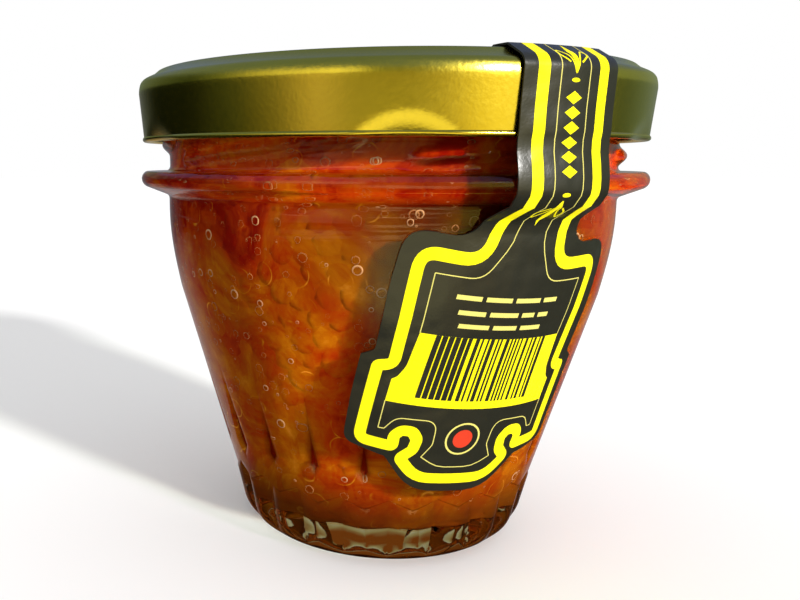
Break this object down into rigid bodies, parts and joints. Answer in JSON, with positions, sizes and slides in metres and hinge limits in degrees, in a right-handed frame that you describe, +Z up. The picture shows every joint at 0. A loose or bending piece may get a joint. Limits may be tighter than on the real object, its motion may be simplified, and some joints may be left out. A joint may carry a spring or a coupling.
{
  "type": "jar of salmon roe",
  "caption": "Shut clear glass jar filled with salmon roe, with a fluted foot, a gold twist-off lid and a paper seal over lid and body.",
  "frame": {"origin": "middle of the jar's base, on the surface that it stands on", "axes": "+Z up along the jar's axis; -Y is the front that the picture looks at; the paper seal is at the front right, towards -Y and +X"},
  "size_m": [0.0866, 0.0866, 0.0809],
  "materials": {
    "clear_glass": "clear pressed soda-lime glass, glossy",
    "gold_tinplate": "gold lacquered tinplate, half gloss",
    "label_paper": "black coated paper printed in yellow, half gloss",
    "roe": "wet translucent amber eggs in brine"
  },
  "bodies": {
    "root": {"glass_jar": "clear_glass", "lid": "gold_tinplate", "seal_label": "label_paper", "roe": "roe"}
  },
  "joints": []
}
